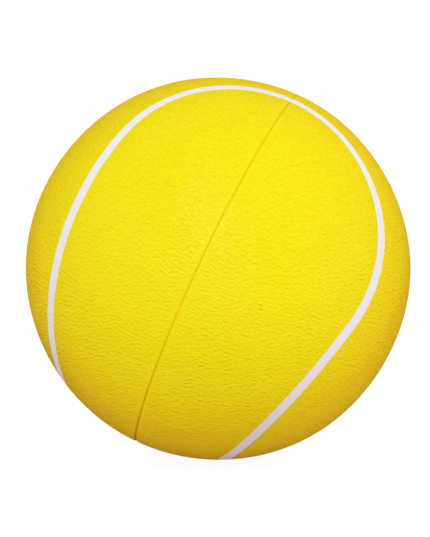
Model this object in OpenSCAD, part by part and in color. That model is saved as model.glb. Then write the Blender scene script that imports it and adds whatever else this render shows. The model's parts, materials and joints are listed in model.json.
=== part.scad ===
// A foam squeeze ball dressed as a tennis ball.
// Two yellow skin halves close over a foam core. The core's thin web shows between them as the parting line,
// and a white line winds round the ball in one closed loop, seated flush in a shallow recess in each half.

/* [Ball] */
// Outside diameter of the ball
ball_d = 63.5; // [50:0.5:80]
// Thickness of the tough skin over the foam
skin_t = 1.2; // [0.8:0.1:3]

/* [Parting line] */
// Thickness of the foam web between the skin halves
web_t = 0.14; // [0.1:0.02:0.6]
// Bevel along the rim of each skin half, which sets how deep the web's edge lies
rim_bevel = 0.12; // [0.05:0.01:0.4]

/* [White line] */
// Width of the line
line_w = 1.95; // [0.8:0.05:4]
// Thickness of the line
line_t = 0.3; // [0.1:0.05:0.6]
// Room between the line and each side of its recess
line_clearance = 0.02; // [0.01:0.01:0.1]

/* [Route of the line] */
// Height at which the line crosses the parting line, as an angle up from the front
tip_turn = 70.9; // [64:0.1:76]
// Middle of the panel's waist, as an angle up from the front
waist_turn = -96; // [-104:1:-88]
// Half-width of the panel at its waist, as an angle
waist_half = 26.4; // [25:0.1:34]
// Left half: rise of the line as it leaves the parting line
left_slant = -5.1; // [-12:0.1:4]
// Left half: angular radius of the lobe
left_lobe_bend = 47.7; // [44:0.1:52]
// Left half: how far the line follows the lobe
left_lobe_sweep = 74.3; // [68:0.1:82]
// Left half: angular radius of the flank below the lobe
left_flank_bend = 108.3; // [100:0.1:113]
// Right half: rise of the line as it leaves the parting line
right_slant = -0.4; // [-6:0.1:4]
// Right half: angular radius of the lobe
right_lobe_bend = 54; // [50:0.1:58]
// Right half: how far the line follows the lobe
right_lobe_sweep = 100.4; // [98.5:0.1:107]
// Right half: angular radius of the flank below the lobe
right_flank_bend = 129.2; // [118:0.1:130.5]

/* [How the ball lies] */
// Tip of the ball about the axis across it
ball_tip = -13.2; // [-180:0.1:180]
// Lean of the parting line to the side
ball_lean = 23.6; // [-180:0.1:180]
// Swing of the ball about the upright
ball_swing = -10.2; // [-180:0.1:180]

/* [Hidden] */
$fn = 180;

ball_r = ball_d / 2;
core_r = ball_r - skin_t;
web_r = ball_r - rim_bevel;
// A tool that cuts through the surface runs this far past it
cut_over = 1;
recess_w = line_w + 2 * line_clearance;
recess_r = ball_r - line_t;
// The line starts this angle before the parting plane, which then trims it
lead_in = 3;
// Each arc of the line overlaps the one before it by this angle, and is this much narrower on each side,
// so that no two of their faces lie together
join_over = 0.6;
join_step = 0.01;
// The back quarter's steps fall half-way between the front quarter's
back_step = 0.5;

// In the ball's own axes +X points across the parting plane to the right and -Y is the front.
across = [1, 0, 0];
// Direction in the parting plane at an angle up from the front
function facing(turn) = [0, -cos(turn), sin(turn)];
function rising(turn) = [0, sin(turn), cos(turn)];
function unit(v) = v / norm(v);
// Vector v turned about the unit axis k
function turned(v, k, angle) = v * cos(angle) + cross(k, v) * sin(angle) + k * (k * v) * (1 - cos(angle));
// Angle about the unit axis k from the direction of u to that of v, from 0 to 360
function angle_about(k, u, v) = (atan2(k * cross(u, v), u * v - (u * k) * (v * k)) + 360) % 360;

// One quarter of the loop, from the parting plane to the waist, as three arcs that run on smoothly:
// the lobe, the flank and the waist. Each is [axis, start, sweep]: the start turned about the axis by the sweep.
function quarter(slant, lobe_bend, lobe_sweep, flank_bend) =
    let (
        tip = facing(tip_turn),
        heading = across * cos(slant) + rising(tip_turn) * sin(slant),
        lobe_axis = -(tip * cos(lobe_bend) + cross(heading, tip) * sin(lobe_bend)),
        lobe_start = turned(tip, lobe_axis, -lead_in),
        shoulder = turned(tip, lobe_axis, lobe_sweep),
        shoulder_heading = turned(heading, lobe_axis, lobe_sweep),
        flank_axis = -(shoulder * cos(flank_bend) + cross(shoulder_heading, shoulder) * sin(flank_bend)),
        waist = facing(waist_turn) * cos(waist_half) + across * sin(waist_half),
        outward = across * cos(waist_half) - facing(waist_turn) * sin(waist_half),
        // The waist circle passes through the waist point, level there, and touches the flank's circle
        waist_bend = atan2(cos(flank_bend) + flank_axis * waist, sin(flank_bend) - flank_axis * outward),
        waist_axis = waist * cos(waist_bend) + outward * sin(waist_bend),
        touch = unit(waist_axis * sin(flank_bend) - flank_axis * sin(waist_bend)),
        flank_start = turned(shoulder, flank_axis, -join_over),
        waist_start = turned(touch, waist_axis, -join_over)
    )
    [
        [lobe_axis, lobe_start, lobe_sweep + lead_in],
        [flank_axis, flank_start, angle_about(flank_axis, flank_start, touch)],
        [waist_axis, waist_start, angle_about(waist_axis, waist_start, waist) + join_over]
    ];

left_quarter = quarter(left_slant, left_lobe_bend, left_lobe_sweep, left_flank_bend);
right_quarter = quarter(right_slant, right_lobe_bend, right_lobe_sweep, right_flank_bend);

// A wedge through the ball's surface along one arc of the route, with its sides square to the surface.
// Each step makes it narrower, and taller by the line's thickness.
module wedge_along(arc, width, step) {
    z = arc[0];
    x = unit(arc[1] - z * (arc[1] * z));
    y = cross(z, x);
    slope = acos(arc[1] * z);
    half_angle = (width / 2 - step * join_step) / ball_r * 180 / PI;
    side = [sin(slope - half_angle), cos(slope - half_angle)];
    far_side = [sin(slope + half_angle), cos(slope + half_angle)];
    low = recess_r - cut_over - step * line_t;
    high = ball_r + cut_over + step * line_t;
    multmatrix([
        [x[0], y[0], z[0], 0],
        [x[1], y[1], z[1], 0],
        [x[2], y[2], z[2], 0],
        [0, 0, 0, 1]
    ])
        rotate_extrude(angle = arc[2])
            polygon([low * side, high * side, high * far_side, low * far_side]);
}

module wedges_along(arcs, width, first_step) {
    for (i = [0 : len(arcs) - 1])
        wedge_along(arcs[i], width, first_step + i);
}

// The loop on the right half, down to the recess floor: its front quarter, and the other half's front quarter
// mirrored at the waist to the back
module half_loop(front, back, width) {
    difference() {
        union() {
            wedges_along(front, width, 0);
            mirror(rising(waist_turn)) wedges_along(back, width, back_step);
        }
        sphere(recess_r);
    }
}

// Half the ball to the right of the web, with its rim bevelled
module bevelled_half() {
    side = web_t / 2;
    reach = ball_r + cut_over;
    rotate([0, 90, 0])
        rotate_extrude()
            intersection() {
                circle(ball_r);
                polygon([
                    [0, side],
                    [web_r, side],
                    [reach, side + reach - web_r],
                    [reach, reach],
                    [0, reach]
                ]);
            }
}

module skin_half(front, back) {
    difference() {
        bevelled_half();
        sphere(core_r);
        half_loop(front, back, recess_w);
    }
}

module line_half_loop(front, back) {
    intersection() {
        half_loop(front, back, line_w);
        bevelled_half();
    }
}

// Turns the ball from its own axes to the way it lies
module as_it_lies() {
    rotate([ball_tip, ball_lean, ball_swing]) children();
}

module foam_core() {
    color("#B9852E")
        as_it_lies() {
            sphere(core_r);
            rotate([0, 90, 0]) cylinder(r = web_r, h = web_t, center = true);
        }
}

module skin_left() {
    color("#F2E01C")
        as_it_lies() mirror(across) skin_half(left_quarter, right_quarter);
}

module skin_right() {
    color("#F2E01C")
        as_it_lies() skin_half(right_quarter, left_quarter);
}

module line_left() {
    color("#F0F0F5")
        as_it_lies() mirror(across) line_half_loop(left_quarter, right_quarter);
}

module line_right() {
    color("#F0F0F5")
        as_it_lies() line_half_loop(right_quarter, left_quarter);
}

foam_core();
skin_left();
skin_right();
line_left();
line_right();
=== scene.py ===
"""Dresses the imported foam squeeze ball: rippled yellow skin halves, a foam core and a printed white line."""
import json
from math import cos, pi, radians, sin

import bpy
import numpy as np
from bpy.props import FloatProperty, IntProperty, PointerProperty, StringProperty
from bpy.types import Operator, Panel, PropertyGroup
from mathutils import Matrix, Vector


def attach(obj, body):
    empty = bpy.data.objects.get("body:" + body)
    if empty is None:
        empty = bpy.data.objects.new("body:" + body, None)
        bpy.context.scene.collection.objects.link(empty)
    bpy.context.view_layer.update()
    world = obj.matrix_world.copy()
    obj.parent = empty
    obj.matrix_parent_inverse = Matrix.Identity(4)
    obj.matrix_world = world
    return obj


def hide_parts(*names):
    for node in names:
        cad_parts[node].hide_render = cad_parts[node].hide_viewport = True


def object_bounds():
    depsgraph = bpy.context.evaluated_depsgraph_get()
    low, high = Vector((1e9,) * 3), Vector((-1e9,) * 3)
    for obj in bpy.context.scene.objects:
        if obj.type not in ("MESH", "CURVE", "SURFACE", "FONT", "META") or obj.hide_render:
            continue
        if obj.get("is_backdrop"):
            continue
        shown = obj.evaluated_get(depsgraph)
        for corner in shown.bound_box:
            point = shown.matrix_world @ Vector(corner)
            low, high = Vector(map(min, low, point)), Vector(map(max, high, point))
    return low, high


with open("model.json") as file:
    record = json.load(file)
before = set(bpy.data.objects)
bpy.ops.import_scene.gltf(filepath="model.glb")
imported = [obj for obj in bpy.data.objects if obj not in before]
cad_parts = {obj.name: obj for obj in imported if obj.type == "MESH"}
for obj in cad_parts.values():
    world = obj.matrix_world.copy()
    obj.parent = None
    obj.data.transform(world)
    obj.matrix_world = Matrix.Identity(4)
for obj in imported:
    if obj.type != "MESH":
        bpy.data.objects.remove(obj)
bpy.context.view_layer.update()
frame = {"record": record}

bl_info = {
    "name": "Foam squeeze ball",
    "version": (1, 0, 0),
    "blender": (4, 5, 0),
    "location": "View3D > Sidebar > Ball",
    "description": "Builds a foam squeeze ball dressed as a tennis ball, and a plain stage for it",
    "category": "Add Mesh",
}

MM = 0.001
BODY = "root"
ACROSS = np.array([1.0, 0.0, 0.0])
OTHER_SIDE = {"left": "right", "right": "left"}
# The right half lies towards +X and the left half towards -X
HAND = {"left": -1, "right": 1}
# The ball stands on its lowest point, which the record gives from the ball's centre
BALL_R = -frame["record"]["mounts"][0]["pos_m"][2]

# Fineness of the meshes
ROUTE_STEP = radians(0.25)
DOME_CELLS = 264
COLLAR_RINGS = 9
RIM_RINGS = 5
WALL_RINGS = 6
CORE_RINGS = 16
CORE_COLUMNS = 900
INK_STEP = 0.2 * MM
INK_POINTS = 11
# The skin is compared with the line in this many parts, to save memory
LINE_PARTS = 24

# How many random slopes the noise draws
NOISE_SLOPES = 256
# How often the parting line strays to each side in one turn
WANDER_WAVES = 3
# Where the dome of a skin half gives way to its collar, off the parting plane
COLLAR_X = 1.2 * MM
# The bed under the ink: its depth, and how far inside the line's edge it starts and is full
BED_DEPTH = 0.08 * MM
BED_START = 0.1 * MM
BED_FULL = 0.45 * MM
# The web's edge: the depth, size and seed of its nicks, its bevel, and the share of its width between bevels
NICK_DEPTH = 0.02 * MM
NICK_SIZE = 0.9 * MM
NICK_SEED = 21
EDGE_BEVEL = 0.03 * MM
EDGE_SHARE = 0.6
# The ink's ends: the gap to the parting plane, how far in they are sheared, and their dip into the groove
END_GAP = 0.015 * MM
SHEAR_REACH = 3 * MM
DIP_DEPTH = 0.01 * MM
DIP_REACH = 0.2 * MM
# Edges of the ink that turn by more than this stay sharp
SHARP_TURN = radians(50)
# The grain's values at which its creases end and its ripples' crowns begin; the painted shade in the creases
# fades out between them
CREASE_END = 0.35
CROWN_START = 0.65

# The stage, in metres and degrees
LAMP_DISTANCE = 0.8
FLOOR_HALF = 3.0
CAMERA_DISTANCE = 0.635
CAMERA_RISE = 10
# Strength of the light from all round
WORLD_FILL = 0.48
# The camera's lens and sensor, in millimetres
LENS = 256.7
SENSOR = 36
# The picture's longer side, and how far right of its middle the ball lies, in pixels
PICTURE_SIDE = 537
BALL_OFFSET = 3.0


def length(name, description, millimetres):
    """A length property, given in millimetres."""
    metres = millimetres * MM
    return FloatProperty(name=name, description=description, default=metres, unit="LENGTH", precision=5)


def angle(name, description, degrees):
    """An angle property, given in degrees."""
    return FloatProperty(name=name, description=description, default=radians(degrees), subtype="ANGLE")


def colour(name, description, hex_value):
    """A colour property, kept as sRGB hex."""
    return StringProperty(name=name, description=description, default=hex_value)


class BallSizes(PropertyGroup):
    """Sizes of the skin halves, the foam web between them and the white line."""
    radius: length("Ball radius", "Outside radius of the ball", BALL_R / MM)
    skin_t: length("Skin thickness", "Thickness of the tough skin over the foam", 1.2)
    web_t: length("Web thickness", "Thickness of the foam web between the skin halves", 0.14)
    rim_round: length("Rim rounding", "Rounding along the rim of each skin half, on the whole", 0.22)
    rim_rise: length("Rim rise", "How much less the rim is rounded at the top of the ball", 0.09)
    web_depth: length("Web depth", "How deep the web's edge lies under the skin, on the whole", 0.15)
    web_rise: length("Web rise", "How much less deep the web's edge lies at the top of the ball", 0.14)
    wander: length("Wander", "How far the parting line strays to each side of its plane", 0.14)
    wander_turn: angle("Wander crest", "Where it strays most to the right, up from the front", 62.6)
    wander_reach: length("Wander reach", "How far from the parting line its wander is felt", 8)
    land: length("Land", "Width of the smooth band along each side of the parting line", 1.2)
    line_w: length("Line width", "Width of the white line", 1.95)
    line_proud: length("Line height", "How far the ink stands above the skin", 0.02)
    line_sunk: length("Line depth", "How far down the ink's sides reach from its top", 0.25)


class BallPose(PropertyGroup):
    """How the ball lies."""
    tip: angle("Tip", "Tip of the ball about the axis across it", -13.2)
    lean: angle("Lean", "Lean of the parting line to the side", 23.6)
    swing: angle("Swing", "Swing of the ball about the upright", -10.2)


class LineRoute(PropertyGroup):
    """Route of the white line, as angles seen from the middle of the ball."""
    tip_turn: angle("Crossing", "Where the line crosses the parting line, up from the front", 70.9)
    waist_turn: angle("Waist", "Middle of the panel's waist, up from the front", -96)
    waist_half: angle("Waist half-width", "Half-width of the panel at its waist", 26.4)
    left_slant: angle("Left slant", "Rise of the line as it leaves the parting line", -5.1)
    left_lobe_bend: angle("Left lobe", "Angular radius of the lobe", 47.7)
    left_lobe_sweep: angle("Left lobe sweep", "How far the line follows the lobe", 74.3)
    left_flank_bend: angle("Left flank", "Angular radius of the flank below the lobe", 108.3)
    right_slant: angle("Right slant", "Rise of the line as it leaves the parting line", -0.4)
    right_lobe_bend: angle("Right lobe", "Angular radius of the lobe", 54)
    right_lobe_sweep: angle("Right lobe sweep", "How far the line follows the lobe", 100.4)
    right_flank_bend: angle("Right flank", "Angular radius of the flank below the lobe", 129.2)


class SkinRelief(PropertyGroup):
    """Relief of the moulded skin."""
    lump_size: length("Lump size", "Size of the soft lumps that the mesh holds", 1.6)
    lump_height: length("Lump height", "Height of the soft lumps", 0.012)
    swell_size: length("Swell size", "Size of the slow swells that put the ball out of round", 26)
    swell_height: length("Swell height", "Height of the slow swells", 0.35)
    grain_pitch: length("Grain pitch", "Distance from one ripple of the grain to the next", 0.75)
    grain_height: length("Grain height", "Height of the ripples over their creases", 0.25)
    grain_reach: FloatProperty(
        name="Grain reach",
        description="How many ripples lie side by side in a patch of the grain",
        default=1.15,
    )
    grain_stray: angle("Grain stray", "How far the patches' ripples may tilt, both ways together", 90)
    seed: IntProperty(name="Seed", description="Seed of the relief", default=601)


class BallColours(PropertyGroup):
    """Colours of the materials and of the light from all round, in sRGB hex."""
    skin: colour("Skin", "Yellow of the skin", "#F1FD10")
    # Painted shade: the creases of the grain are coloured a darker yellow than the skin, standing in for the
    # shade that falls in them
    crease_shade: colour("Crease", "Deeper yellow in the creases of the grain", "#EFF50B")
    film: colour("Film", "Tint of the clear film over the skin", "#FFF1FF")
    bloom: colour("Bloom", "Tint of the faint bloom over the skin", "#FF7890")
    glint: colour("Glint", "Strength of the faint gloss on the ripples", "#1A1A1A")
    ink: colour("Ink", "White of the printed line", "#EEF3F2")
    foam: colour("Foam", "Yellow of the foam web, which looks amber in its groove", "#EFDE12")
    floor: colour("Floor", "Rose grey of the floor", "#9C8888")
    glow: colour("Floor glow", "Tone of the floor's glow where it is seen", "#F5F5F5")
    surround: colour("Surround", "Faintly cool tone of the light from all round", "#F5FFFF")


class SqueezeBall(PropertyGroup):
    """All settings of the ball."""
    sizes: PointerProperty(type=BallSizes)
    pose: PointerProperty(type=BallPose)
    route: PointerProperty(type=LineRoute)
    relief: PointerProperty(type=SkinRelief)
    colours: PointerProperty(type=BallColours)


def settings():
    """The ball's settings in the open scene."""
    return bpy.context.scene.squeeze_ball


def core_radius():
    """Radius of the foam ball inside the skin."""
    sizes = settings().sizes
    return sizes.radius - sizes.skin_t


def unit(vectors):
    """The vectors at length 1."""
    return vectors / np.linalg.norm(vectors, axis=-1, keepdims=True)


def ball_turn():
    """The matrix from the ball's own axes to the way it lies: the tip, then the lean, then the swing.

    In its own axes +X points across the parting plane to the right and -Y is the front.
    """
    pose = settings().pose
    tip = np.array([
        [1, 0, 0],
        [0, cos(pose.tip), -sin(pose.tip)],
        [0, sin(pose.tip), cos(pose.tip)],
    ])
    lean = np.array([
        [cos(pose.lean), 0, sin(pose.lean)],
        [0, 1, 0],
        [-sin(pose.lean), 0, cos(pose.lean)],
    ])
    swing = np.array([
        [cos(pose.swing), -sin(pose.swing), 0],
        [sin(pose.swing), cos(pose.swing), 0],
        [0, 0, 1],
    ])
    return swing @ lean @ tip


def as_it_lies(points):
    """Points from the ball's own axes to the way it lies.

    First they follow the parting line, which strays from its plane in a few waves to a turn. They move
    across by wander * exp(-(x / reach)^2) * cos(waves * (turn - crest)). Turn is the angle from the front.
    """
    sizes = settings().sizes
    turn = np.arctan2(points[:, 2], -points[:, 1])
    fade = np.exp(-(points[:, 0] / sizes.wander_reach) ** 2)
    stray = sizes.wander * fade * np.cos(WANDER_WAVES * (turn - sizes.wander_turn))
    return (points + np.outer(stray, ACROSS)) @ ball_turn().T


def lattice_noise(points, seed):
    """Smooth noise from -1 to 1: a random slope at each whole-number point, eased from each to the next.

    The ease over a cell is 6 t^5 - 15 t^4 + 10 t^3 along each axis.
    """
    draw = np.random.default_rng(seed)
    order = np.tile(draw.permutation(NOISE_SLOPES), 2)
    slopes = unit(draw.normal(size=(NOISE_SLOPES, 3)))
    cell = np.floor(points).astype(int)
    inside = points - cell
    ease = inside ** 3 * (inside * (inside * 6 - 15) + 10)
    total = np.zeros(len(points))
    for corner in np.ndindex(2, 2, 2):
        x, y, z = ((cell + corner) % NOISE_SLOPES).T
        slope = slopes[order[order[order[x] + y] + z]]
        share = np.prod(np.where(corner, ease, 1 - ease), axis=1)
        total += share * np.sum(slope * (inside - corner), axis=1)
    return total


def skin_height(directions):
    """Height of the skin over the true ball, in metres, at unit directions in the ball's own axes.

    Soft lumps over slow swells: lump_height * (n(p / s) + n(2 p / s) / 2) + swell_height * n(p / S), where n
    is the noise, p the point on the ball, and s and S the sizes of the lumps and the swells.
    """
    relief = settings().relief
    points = directions * settings().sizes.radius
    lumps = lattice_noise(points / relief.lump_size, relief.seed)
    lumps += 0.5 * lattice_noise(points * 2 / relief.lump_size, relief.seed + 1)
    swells = lattice_noise(points / relief.swell_size, relief.seed + 2)
    return relief.lump_height * lumps + relief.swell_height * swells


def facing(turn):
    """Direction in the parting plane, at an angle up from the front."""
    return np.array([0.0, -cos(turn), sin(turn)])


def rising(turn):
    """Direction in the parting plane, square to facing(turn) and upwards from it."""
    return np.array([0.0, sin(turn), cos(turn)])


def turned(vector, axis, angles):
    """The vector v turned about the unit axis k by each of the angles.

    v cos a + (k x v) sin a + k (k . v) (1 - cos a)
    """
    a = np.atleast_1d(angles)[:, None]
    return vector * np.cos(a) + np.cross(axis, vector) * np.sin(a) + axis * (axis @ vector) * (1 - np.cos(a))


def angle_about(axis, start, end):
    """Angle about a unit axis from the start's direction to the end's, from 0 to a full turn."""
    rise = axis @ np.cross(start, end)
    run = start @ end - (start @ axis) * (end @ axis)
    return np.arctan2(rise, run) % (2 * pi)


def quarter(side):
    """Unit directions along a quarter of the loop, from the parting plane to the waist, on the +X side.

    Three circles on the ball that touch: the lobe, the flank, and the waist circle, which passes level
    through the waist point. Each arc is its start turned about its axis.
    """
    route = settings().route
    slant = getattr(route, side + "_slant")
    lobe_bend = getattr(route, side + "_lobe_bend")
    lobe_sweep = getattr(route, side + "_lobe_sweep")
    flank_bend = getattr(route, side + "_flank_bend")
    tip = facing(route.tip_turn)
    heading = ACROSS * cos(slant) + rising(route.tip_turn) * sin(slant)
    lobe_axis = -(tip * cos(lobe_bend) + np.cross(heading, tip) * sin(lobe_bend))
    shoulder = turned(tip, lobe_axis, lobe_sweep)[0]
    shoulder_heading = turned(heading, lobe_axis, lobe_sweep)[0]
    flank_axis = -(shoulder * cos(flank_bend) + np.cross(shoulder_heading, shoulder) * sin(flank_bend))
    below = facing(route.waist_turn)
    waist = below * cos(route.waist_half) + ACROSS * sin(route.waist_half)
    outward = ACROSS * cos(route.waist_half) - below * sin(route.waist_half)
    waist_bend = np.arctan2(cos(flank_bend) + flank_axis @ waist, sin(flank_bend) - flank_axis @ outward)
    waist_axis = waist * cos(waist_bend) + outward * sin(waist_bend)
    touch = unit(waist_axis * sin(flank_bend) - flank_axis * sin(waist_bend))
    arcs = (
        (lobe_axis, tip, lobe_sweep),
        (flank_axis, shoulder, angle_about(flank_axis, shoulder, touch)),
        (waist_axis, touch, angle_about(waist_axis, touch, waist)),
    )
    return np.vstack([turned(start, axis, np.arange(0, sweep, ROUTE_STEP)) for axis, start, sweep in arcs])


def half_loop(side):
    """Unit directions along the line on one half, from the front crossing to the back one, in own axes.

    The back quarter is the other half's front quarter, mirrored at the waist. The left half is then mirrored
    over the parting plane.
    """
    back_axis = rising(settings().route.waist_turn)
    back = quarter(OTHER_SIDE[side])
    back = back - 2 * np.outer(back @ back_axis, back_axis)
    loop = np.vstack([quarter(side), back[::-1]])
    return loop * (HAND[side], 1, 1)


def nearest_line(directions, side):
    """Distance over the ball, in metres, from each unit direction to the white line on that half."""
    loop = half_loop(side)
    parts = np.array_split(directions, LINE_PARTS)
    nearness = np.concatenate([(part @ loop.T).max(axis=1) for part in parts])
    return np.arccos(np.clip(nearness, -1, 1)) * settings().sizes.radius


def ease_between(low, high, values):
    """0 below low, 1 above high, and the smooth S of 3 t^2 - 2 t^3 between."""
    t = np.clip((values - low) / (high - low), 0, 1)
    return t * t * (3 - 2 * t)


def strip_faces(rows, columns, closed):
    """Quads of a grid of rows by columns, closed round the columns if asked."""
    across = columns if closed else columns - 1
    row = np.arange(rows - 1)[:, None] * columns
    column = np.arange(across)[None, :]
    after = (column + 1) % columns
    corners = [row + column, row + after, row + columns + after, row + columns + column]
    return np.stack(corners, axis=-1).reshape(-1, 4)


def new_object(name, data):
    """An object made from its data and linked to the open scene."""
    item = bpy.data.objects.new(name, data)
    bpy.context.scene.collection.objects.link(item)
    return item


def new_piece(name, points, faces, flip=False):
    """A smooth mesh object at the origin. Faces are arrays with a polygon a row; flip turns them over."""
    mesh = bpy.data.meshes.new(name)
    polygons = [corner for part in faces for corner in (part[:, ::-1] if flip else part).tolist()]
    mesh.from_pydata(points.tolist(), [], polygons)
    mesh.validate()
    mesh.shade_smooth()
    return new_object(name, mesh)


def finish_piece(piece, node, material):
    """Gives a piece its material, and lets it stand for its CAD node on the ball's one body."""
    piece.data.materials.append(material)
    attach(piece, BODY)
    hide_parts(node)


def linear(hex_value):
    """Linear RGBA from an sRGB hex colour, by the sRGB curve."""
    srgb = np.array([int(hex_value[i:i + 2], 16) for i in (1, 3, 5)]) / 255
    rgb = np.where(srgb <= 0.04045, srgb / 12.92, ((srgb + 0.055) / 1.055) ** 2.4)
    return (*rgb.tolist(), 1.0)


def add_node(material, kind, values=None, links=None, **options):
    """Adds a node. Options are its settings, values fill sockets, and links bring other nodes' outputs."""
    tree = material.node_tree
    node = tree.nodes.new(kind)
    for option, value in options.items():
        setattr(node, option, value)
    for socket, value in (values or {}).items():
        node.inputs[socket].default_value = value
    for socket, output in (links or {}).items():
        tree.links.new(output, node.inputs[socket])
    return node


def new_material(name):
    """An empty node material."""
    material = bpy.data.materials.new(name)
    material.use_nodes = True
    material.node_tree.nodes.clear()
    return material


def per_mm(x, y, z):
    """Mapping scale that makes one unit of a pattern this many millimetres long on each axis."""
    return (1 / (x * MM), 1 / (y * MM), 1 / (z * MM))


def skin_ripples(material, place):
    """The skin's grain: short level ripples in patches, each patch tilted by a random share of the stray."""
    relief = settings().relief
    # The node turns the ripples of each patch on from this direction
    start = pi - relief.grain_stray / 2
    swing = -relief.grain_stray / 2
    return add_node(
        material, "ShaderNodeTexGabor",
        {
            "Scale": 1 / (relief.grain_reach * relief.grain_pitch),
            "Frequency": relief.grain_reach,
            "Anisotropy": 1 - relief.grain_stray / pi,
            "Orientation": (sin(start) * cos(swing), sin(start) * sin(swing), cos(start)),
        },
        {"Vector": place}, gabor_type="3D",
    ).outputs["Value"]


def off_the_land(material, place):
    """0 by the parting line, up to a quarter of the smooth land, and then rising to 1 at the land's edge."""
    land = settings().sizes.land
    from_plane = add_node(
        material, "ShaderNodeVectorMath", {1: ball_turn() @ ACROSS}, {0: place}, operation="DOT_PRODUCT"
    )
    from_seam = add_node(
        material, "ShaderNodeMath", None, {0: from_plane.outputs["Value"]}, operation="ABSOLUTE"
    )
    return add_node(
        material, "ShaderNodeMapRange", {"From Min": land / 4, "From Max": land},
        {"Value": from_seam.outputs["Value"]},
    ).outputs["Result"]


def skin_material():
    """Self-skinned polyurethane foam, cast in a leather-grained mould: satin, opaque and finely rippled.

    The clear film over the yellow is faintly rose, which turns it towards orange where it is seen
    aslant. The ripples have a faint gloss, and their creases are painted a darker yellow as painted shade.
    """
    colours = settings().colours
    material = new_material("polyurethane_skin_moulded")
    place = add_node(material, "ShaderNodeTexCoord").outputs["Object"]
    ripples = skin_ripples(material, place)
    grain = add_node(
        material, "ShaderNodeBump", {"Distance": settings().relief.grain_height},
        {"Height": ripples, "Strength": off_the_land(material, place)},
    ).outputs["Normal"]
    # Painted shade: the grain's creases get the darker crease colour, which fades to the skin's yellow towards
    # the ripples' crowns
    out_of_crease = add_node(
        material, "ShaderNodeMapRange", {"From Min": CREASE_END, "From Max": CROWN_START}, {"Value": ripples}
    )
    yellow_and_crease_shade = add_node(
        material, "ShaderNodeMix", {"A": linear(colours.crease_shade), "B": linear(colours.skin)},
        {"Factor": out_of_crease.outputs["Result"]}, data_type="RGBA",
    )
    shader = add_node(
        material, "ShaderNodeBsdfPrincipled",
        {
            "Roughness": 0.85, "IOR": 1.5, "Specular IOR Level": 0.0, "Diffuse Roughness": 0.7,
            "Coat Weight": 1.0, "Coat Roughness": 1.0, "Coat IOR": 1.05, "Coat Tint": linear(colours.film),
            "Sheen Weight": 0.04, "Sheen Roughness": 0.6, "Sheen Tint": linear(colours.bloom),
        },
        {"Base Color": yellow_and_crease_shade.outputs["Result"], "Normal": grain},
    )
    glint = add_node(
        material, "ShaderNodeBsdfAnisotropic", {"Color": linear(colours.glint), "Roughness": 0.3},
        {"Normal": grain},
    )
    both = add_node(
        material, "ShaderNodeAddShader", None, {0: shader.outputs["BSDF"], 1: glint.outputs["BSDF"]}
    )
    add_node(material, "ShaderNodeOutputMaterial", None, {"Surface": both.outputs["Shader"]})
    return material


def ink_material():
    """White printing ink over the grained skin: opaque, a little cool, with the grain half filled."""
    material = new_material("white_ink_printed")
    place = add_node(material, "ShaderNodeTexCoord").outputs["Object"]
    drawn = add_node(material, "ShaderNodeMapping", {"Scale": per_mm(1.5, 1.5, 0.6)}, {"Vector": place})
    grain = add_node(
        material, "ShaderNodeTexNoise", {"Scale": 1.0, "Detail": 2.0}, {"Vector": drawn.outputs["Vector"]}
    )
    bump = add_node(
        material, "ShaderNodeBump", {"Strength": 0.2, "Distance": 0.05 * MM},
        {"Height": grain.outputs["Fac"]},
    )
    shader = add_node(
        material, "ShaderNodeBsdfPrincipled",
        {
            "Base Color": linear(settings().colours.ink), "Roughness": 0.5, "IOR": 1.5,
            "Specular IOR Level": 0.1, "Diffuse Roughness": 0.7,
        },
        {"Normal": bump.outputs["Normal"]},
    )
    add_node(material, "ShaderNodeOutputMaterial", None, {"Surface": shader.outputs["BSDF"]})
    return material


def foam_material():
    """Polyurethane foam, as it sets in the gap of the mould: dull yellow with fine pores."""
    material = new_material("polyurethane_foam_cast")
    place = add_node(material, "ShaderNodeTexCoord").outputs["Object"]
    cells = add_node(material, "ShaderNodeMapping", {"Scale": per_mm(0.25, 0.25, 0.25)}, {"Vector": place})
    pores = add_node(
        material, "ShaderNodeTexVoronoi", {"Scale": 1.0}, {"Vector": cells.outputs["Vector"]}
    )
    bump = add_node(
        material, "ShaderNodeBump", {"Strength": 0.5, "Distance": 0.05 * MM},
        {"Height": pores.outputs["Distance"]},
    )
    shader = add_node(
        material, "ShaderNodeBsdfPrincipled",
        {"Base Color": linear(settings().colours.foam), "Roughness": 0.9, "Specular IOR Level": 0.05},
        {"Normal": bump.outputs["Normal"]},
    )
    add_node(material, "ShaderNodeOutputMaterial", None, {"Surface": shader.outputs["BSDF"]})
    return material


def dome_directions(count, edge):
    """Unit directions over a dome about +X, as a square grid with count cells a side, and its outline.

    The square's rings become circles at x = 1 - q^2 (1 - cos edge), where q is the ring's share of the
    square's half-width. So all cells have about the same area, and the outline lies at the edge angle.
    """
    v, u = np.meshgrid(*[np.linspace(-1, 1, count + 1)] * 2, indexing="ij")
    wide = np.abs(u) >= np.abs(v)
    reach = np.where(wide, u, v)
    other = np.where(wide, v, u)
    share = np.divide(other, reach, out=np.zeros_like(reach), where=reach != 0)
    around = np.where(wide, share * pi / 4, pi / 2 - share * pi / 4)
    away = 1 - reach ** 2 * (1 - cos(edge))
    out = np.sqrt(1 - away ** 2) * np.sign(reach)
    directions = np.stack([away, out * np.cos(around), out * np.sin(around)], axis=-1).reshape(-1, 3)
    index = np.arange((count + 1) ** 2).reshape(count + 1, count + 1)
    outline = np.concatenate([index[0, :-1], index[:-1, -1], index[-1, :0:-1], index[:0:-1, 0]])
    return directions, outline


def collar_rings(circle, rim_round):
    """Rings of unit directions from the dome's outline to where the rim's rounding starts.

    Each ring is x ACROSS + sqrt(1 - x^2) circle, with x in even steps, as a share of the ball's radius.
    """
    sizes = settings().sizes
    across = np.linspace(COLLAR_X, sizes.web_t / 2 + rim_round, COLLAR_RINGS + 1)[1:] / sizes.radius
    return [np.outer(x, ACROSS) + circle * np.sqrt(1 - x * x)[:, None] for x in across]


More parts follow.
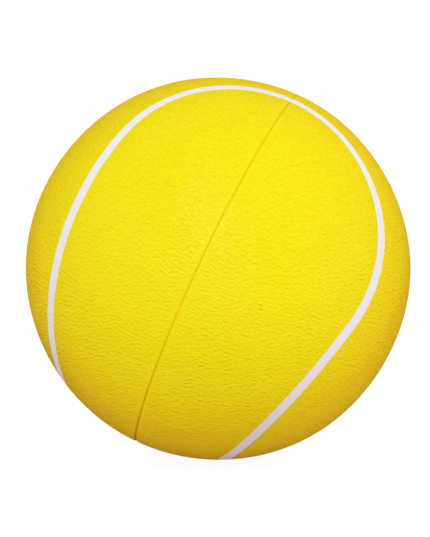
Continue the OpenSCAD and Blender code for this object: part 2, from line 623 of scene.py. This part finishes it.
def skin_radius(directions, side):
    """Radius of the skin's outside: the ball's plus the skin's height, less a shallow bed for the ink."""
    sizes = settings().sizes
    edge = sizes.line_w / 2
    bed = 1 - ease_between(edge - BED_FULL, edge - BED_START, nearest_line(directions, side))
    height = skin_height(directions) - BED_DEPTH * bed
    return sizes.radius + height


def rim_rings(circle, rim_round, rim_r):
    """Rings of the rim, from the outside down to the web's side, over a quarter circle.

    x = side + b (1 - sin t) and r = R - b (1 - cos t), where b is the rounding and R the rim's outer radius.
    """
    web_side = settings().sizes.web_t / 2
    rings = []
    for fall in np.linspace(0, pi / 2, RIM_RINGS + 1)[1:]:
        x = web_side + rim_round * (1 - sin(fall))
        r = rim_r - rim_round * (1 - cos(fall))
        rings.append(circle * r[:, None] + np.outer(x, ACROSS))
    return rings


def wall_rings(circle):
    """Rings of the wall on the foam, from the web's side to the pole, and the pole.

    They lie on a plain dome: core_r (circle sin t + ACROSS cos t).
    """
    core_r = core_radius()
    web_side = settings().sizes.web_t / 2
    falls = np.linspace(np.arccos(web_side / core_r), 0, WALL_RINGS + 1)[:-1]
    rings = [core_r * (circle * sin(away) + ACROSS * cos(away)) for away in falls]
    return rings + [core_r * ACROSS[None, :]]


def skin_half(side):
    """Points and faces of one skin half, and whether its faces are to be turned over.

    A grained dome, a collar in finer rings, the rounded rim and the wall on the foam are made on the +X
    side, and mirrored for the left half.
    """
    sizes = settings().sizes
    hand = np.array([HAND[side], 1, 1])
    dome, outline = dome_directions(DOME_CELLS, np.arccos(COLLAR_X / sizes.radius))
    circle = unit(dome[outline] * (0, 1, 1))
    around = len(outline)
    rim_round = sizes.rim_round - sizes.rim_rise * circle[:, 2]
    directions = np.vstack([dome, *collar_rings(circle, rim_round)]) * hand
    outside = directions * skin_radius(directions, side)[:, None]
    rim_r = np.linalg.norm(outside[-around:] * (0, 1, 1), axis=1)
    inside = np.vstack(rim_rings(circle, rim_round, rim_r) + wall_rings(circle))
    points = np.vstack([outside, inside * hand])
    grid = strip_faces(DOME_CELLS + 1, DOME_CELLS + 1, closed=False)
    ring_index = np.vstack([outline, np.arange(len(dome), len(points) - 1).reshape(-1, around)])
    ring_faces = ring_index.ravel()[strip_faces(len(ring_index), around, closed=True)]
    last = ring_index[-1]
    cap = np.stack([last, np.full(around, len(points) - 1), np.roll(last, -1)], axis=1)
    return as_it_lies(points), [grid, ring_faces[:, ::-1], cap], HAND[side] < 0


def foam_core():
    """Points and faces of the foam core, turned about X: a plain ball with a thin web.

    The profile runs from pole to pole, over the ball, up one side of the web, across its edge and down. The
    edge lies at radius + skin height - depth + nicks, and less deep at the top of the ball.
    """
    sizes = settings().sizes
    core_r = core_radius()
    web_side = sizes.web_t / 2
    around = np.linspace(0, 2 * pi, CORE_COLUMNS, endpoint=False)
    circle = np.stack([0 * around, np.cos(around), np.sin(around)], axis=1)
    nicks = NICK_DEPTH * lattice_noise(circle * sizes.radius / NICK_SIZE, NICK_SEED)
    depth = sizes.web_depth - sizes.web_rise * circle[:, 2]
    web_r = sizes.radius + skin_height(circle) - depth + nicks
    away = np.linspace(0, np.arccos(web_side / core_r), CORE_RINGS + 1)[1:]
    half = [(core_r * cos(a), np.full(CORE_COLUMNS, core_r * sin(a))) for a in away]
    half += [(web_side, web_r - EDGE_BEVEL), (web_side * EDGE_SHARE, web_r)]
    profile = half + [(-x, r) for x, r in reversed(half)]
    rows = [circle * r[:, None] + ACROSS * x for x, r in profile]
    poles = core_r * np.array([[1.0, 0, 0], [-1.0, 0, 0]])
    points = np.vstack(rows + [poles])
    sides = strip_faces(len(rows), CORE_COLUMNS, closed=True)
    first = np.arange(CORE_COLUMNS)
    last = first + (len(rows) - 1) * CORE_COLUMNS
    right = np.stack([first, np.roll(first, -1), np.full(CORE_COLUMNS, len(points) - 2)], axis=1)
    left = np.stack([np.roll(last, -1), last, np.full(CORE_COLUMNS, len(points) - 1)], axis=1)
    return as_it_lies(points), [sides[:, ::-1], right, left]


def end_shear(side, from_front, from_back):
    """Shear of the ink's profile, so that the ink ends along the parting plane.

    At each end it is the tangent of the slant at which the line leaves that plane, and it fades inwards.
    """
    route = settings().route
    front_slant = getattr(route, side + "_slant")
    back_slant = getattr(route, OTHER_SIDE[side] + "_slant")
    front_shear = np.tan(front_slant) * np.clip(1 - from_front / SHEAR_REACH, 0, 1)
    back_shear = np.tan(back_slant) * np.clip(1 - from_back / SHEAR_REACH, 0, 1)
    return (front_shear + back_shear) * HAND[side]


def read_along(places, travel, vectors):
    """Vectors that are given at each travel along a route, read at the places between."""
    return np.stack([np.interp(places, travel, vectors[:, k]) for k in range(3)], axis=-1)


def line_half(side):
    """Points and faces of the ink on one half, and whether its faces are to be turned over.

    A low closed profile is carried along the route: its direction at a across the line is
    middle cos(a / R) + sideways sin(a / R). The top follows the skin and stands a little proud of it, the
    sides go down into the skin, and both ends dip into the groove.
    """
    sizes = settings().sizes
    loop = half_loop(side)
    steps = np.linalg.norm(np.diff(loop, axis=0), axis=1)
    travel = np.concatenate([[0], np.cumsum(steps)]) * sizes.radius
    beside = np.cross(unit(np.gradient(loop, axis=0)), loop)
    along = np.linspace(END_GAP, travel[-1] - END_GAP, int(travel[-1] / INK_STEP))
    from_back = travel[-1] - along
    crown = np.linspace(-1, 1, INK_POINTS)
    across = np.concatenate([crown, [1.0, -1.0]]) * (sizes.line_w / 2)
    drop = np.concatenate([0 * crown, [sizes.line_sunk] * 2])
    places = along[:, None] + np.outer(end_shear(side, along, from_back), across)
    angles = (across / sizes.radius)[None, :, None]
    middle = read_along(places, travel, loop)
    sideways = read_along(places, travel, beside)
    directions = unit(middle * np.cos(angles) + sideways * np.sin(angles)).reshape(-1, 3)
    height = skin_height(directions).reshape(places.shape)
    dip = DIP_DEPTH * np.clip(1 - np.minimum(along, from_back) / DIP_REACH, 0, 1) ** 2
    radius = sizes.radius + height + sizes.line_proud - drop[None, :] - dip[:, None]
    points = directions * radius.reshape(-1, 1)
    columns = len(across)
    sides = strip_faces(len(along), columns, closed=True)
    start_cap = np.arange(columns)[None, ::-1]
    end_cap = np.arange(columns)[None, :] + (len(along) - 1) * columns
    return as_it_lies(points), [sides, start_cap, end_cap], HAND[side] < 0


class BALL_OT_core(Operator):
    """Makes the foam core, whose web shows as the thin amber parting line."""
    bl_idname = "ball.core"
    bl_label = "Foam core"

    def execute(self, context):
        points, faces = foam_core()
        piece = new_piece("foam_ball", points, faces)
        finish_piece(piece, "foam_core", foam_material())
        return {"FINISHED"}


class BALL_OT_skins(Operator):
    """Makes the two yellow skin halves."""
    bl_idname = "ball.skins"
    bl_label = "Skin halves"

    def execute(self, context):
        material = skin_material()
        for side in ("left", "right"):
            points, faces, flip = skin_half(side)
            piece = new_piece(f"skin_half_{side}", points, faces, flip)
            finish_piece(piece, f"skin_{side}", material)
        return {"FINISHED"}


class BALL_OT_lines(Operator):
    """Makes the printed white line on both halves."""
    bl_idname = "ball.lines"
    bl_label = "White line"

    def execute(self, context):
        material = ink_material()
        for side in ("left", "right"):
            points, faces, flip = line_half(side)
            piece = new_piece(f"white_line_{side}", points, faces, flip)
            piece.data.set_sharp_from_angle(angle=SHARP_TURN)
            finish_piece(piece, f"line_{side}", material)
        return {"FINISHED"}


def place_round(thing, distance, azimuth, elevation):
    """Puts a camera or lamp at a distance from the ball's centre and points it there.

    Azimuth 0 is the viewer's side and 90 the viewer's right, in degrees.
    """
    a = radians(azimuth)
    e = radians(elevation)
    place = Vector((distance * cos(e) * sin(a), -distance * cos(e) * cos(a), distance * sin(e)))
    thing.location = place
    thing.rotation_euler = (Vector((0, 0, 0)) - place).to_track_quat("-Z", "Y").to_euler()


def add_softbox(name, azimuth, elevation, width, power, tone, mirrored=False):
    """A square softbox that faces the ball, in degrees, metres and watts. Gloss shows it if mirrored."""
    lamp = bpy.data.lights.new(name, "AREA")
    lamp.shape = "SQUARE"
    lamp.size = width
    lamp.energy = power
    lamp.color = linear(tone)[:3]
    softbox = new_object(name, lamp)
    softbox.visible_glossy = mirrored
    place_round(softbox, LAMP_DISTANCE, azimuth, elevation)


def add_softboxes():
    """A small key lamp from above, and large softboxes low down in front, at both sides and behind."""
    add_softbox(
        "softbox_key", azimuth=-8, elevation=40, width=0.06, power=1.1, tone="#E8FFFF", mirrored=True
    )
    add_softbox("softbox_low", azimuth=0, elevation=3, width=0.5, power=5.0, tone="#FFDDEF")
    add_softbox("softbox_left", azimuth=-80, elevation=8, width=0.5, power=0.5, tone="#FFFFFF")
    add_softbox("softbox_right", azimuth=80, elevation=8, width=0.5, power=1.87, tone="#FFF0F0")
    add_softbox("softbox_back", azimuth=180, elevation=5, width=0.5, power=4.0, tone="#FFDDEF")


def seen_or_mirrored(material):
    """1 for rays from the camera, a mirror or glass, and 0 for rays that carry light."""
    path = add_node(material, "ShaderNodeLightPath")
    glossy = add_node(
        material, "ShaderNodeMath", None,
        {0: path.outputs["Is Camera Ray"], 1: path.outputs["Is Glossy Ray"]}, operation="MAXIMUM",
    )
    return add_node(
        material, "ShaderNodeMath", None,
        {0: glossy.outputs[0], 1: path.outputs["Is Transmission Ray"]}, operation="MAXIMUM",
    ).outputs[0]


def floor_material():
    """Studio floor: dull rose grey that glows white where it is seen or mirrored, and keeps the shadow."""
    colours = settings().colours
    material = new_material("studio_floor_matte")
    dull = add_node(material, "ShaderNodeBsdfDiffuse", {"Color": linear(colours.floor)})
    glow = add_node(
        material, "ShaderNodeEmission", {"Color": linear(colours.glow)},
        {"Strength": seen_or_mirrored(material)},
    )
    both = add_node(
        material, "ShaderNodeAddShader", None, {0: dull.outputs["BSDF"], 1: glow.outputs["Emission"]}
    )
    add_node(material, "ShaderNodeOutputMaterial", None, {"Surface": both.outputs["Shader"]})
    return material


def add_floor():
    """The studio floor: a wide square under the ball's lowest point."""
    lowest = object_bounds()[0][2]
    corners = FLOOR_HALF * np.array([[-1, -1, 0], [1, -1, 0], [1, 1, 0], [-1, 1, 0]])
    corners[:, 2] = lowest
    floor = new_piece("studio_floor", corners, [np.array([[0, 1, 2, 3]])])
    floor.data.materials.append(floor_material())
    floor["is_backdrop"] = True


def light_world():
    """World light: a soft, faintly cool fill from all round."""
    world = bpy.data.worlds.new("studio_surround")
    world.use_nodes = True
    world.node_tree.nodes.clear()
    tone = linear(settings().colours.surround)
    fill = add_node(world, "ShaderNodeBackground", {"Color": tone, "Strength": WORLD_FILL})
    add_node(world, "ShaderNodeOutputWorld", None, {"Surface": fill.outputs["Background"]})
    bpy.context.scene.world = world


def add_camera():
    """The camera: a long lens, a little above the ball."""
    data = bpy.data.cameras.new("camera")
    data.sensor_width = SENSOR
    data.lens = LENS
    data.shift_x = -BALL_OFFSET / PICTURE_SIDE
    camera = new_object("camera", data)
    place_round(camera, CAMERA_DISTANCE, 0, CAMERA_RISE)
    bpy.context.scene.camera = camera


class BALL_OT_stage(Operator):
    """Makes the floor, the soft studio light and the camera."""
    bl_idname = "ball.stage"
    bl_label = "Stage"

    def execute(self, context):
        add_floor()
        add_softboxes()
        light_world()
        add_camera()
        context.scene.view_settings.view_transform = "Standard"
        return {"FINISHED"}


class BALL_PT_panel(Panel):
    """Lists the steps that build the ball."""
    bl_label = "Foam squeeze ball"
    bl_idname = "BALL_PT_panel"
    bl_space_type = "VIEW_3D"
    bl_region_type = "UI"
    bl_category = "Ball"

    def draw(self, context):
        for step in STEPS:
            self.layout.operator(step.bl_idname)


STEPS = (BALL_OT_core, BALL_OT_skins, BALL_OT_lines, BALL_OT_stage)
GROUPS = (BallSizes, BallPose, LineRoute, SkinRelief, BallColours, SqueezeBall)
CLASSES = GROUPS + STEPS + (BALL_PT_panel,)


def register():
    """Adds the settings, the steps and the panel to Blender."""
    for item in CLASSES:
        bpy.utils.register_class(item)
    bpy.types.Scene.squeeze_ball = PointerProperty(type=SqueezeBall)


def unregister():
    """Takes them out again."""
    del bpy.types.Scene.squeeze_ball
    for item in reversed(CLASSES):
        bpy.utils.unregister_class(item)


def main():
    """Builds the ball and its stage."""
    register()
    bpy.ops.ball.core()
    bpy.ops.ball.skins()
    bpy.ops.ball.lines()
    bpy.ops.ball.stage()


if __name__ == "__main__":
    main()
